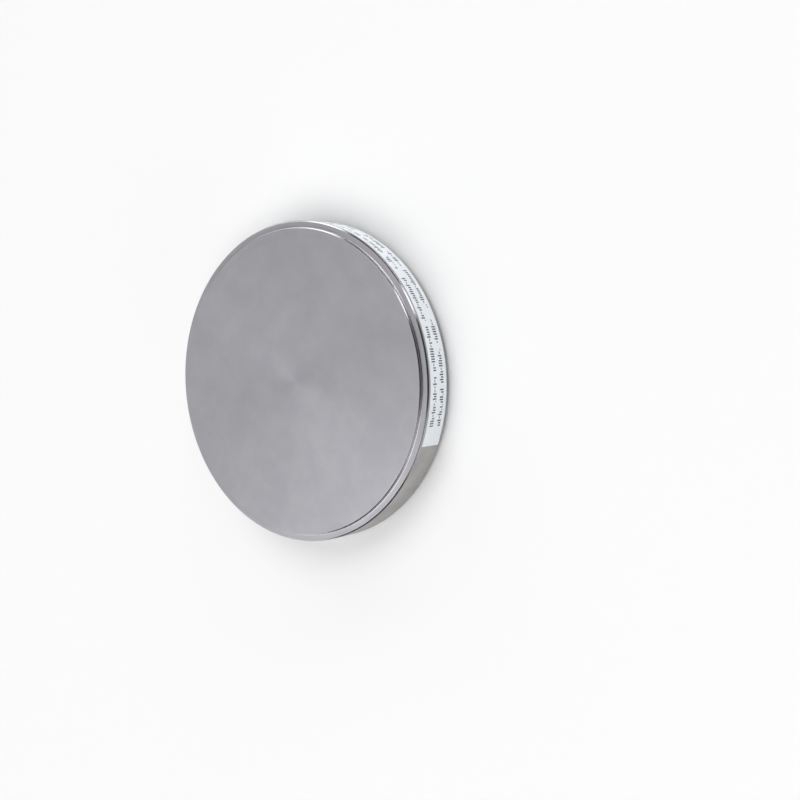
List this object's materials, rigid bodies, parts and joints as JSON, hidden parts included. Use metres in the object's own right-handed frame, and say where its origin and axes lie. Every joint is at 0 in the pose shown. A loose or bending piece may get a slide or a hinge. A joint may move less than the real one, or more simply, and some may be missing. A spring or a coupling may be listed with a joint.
{
  "type": "titanium milling disc",
  "caption": "Flat round titanium blank for dental milling, turned with a low raised face and a clamping ledge on each side, and a paper label stuck round part of its rim.",
  "frame": {"origin": "centre of the back raised face, which the disc lies on", "axes": "+Z along the disc's axis, out of the front raised face; -Y towards the middle of the rim label"},
  "size_m": [0.098, 0.0981, 0.012],
  "materials": {
    "turned_titanium": "fine turned titanium alloy with polished chamfers",
    "label_paper": "smooth coated white paper with dark print"
  },
  "bodies": {
    "root": {"milling_disc": "turned_titanium", "rim_label": "label_paper"}
  },
  "joints": []
}
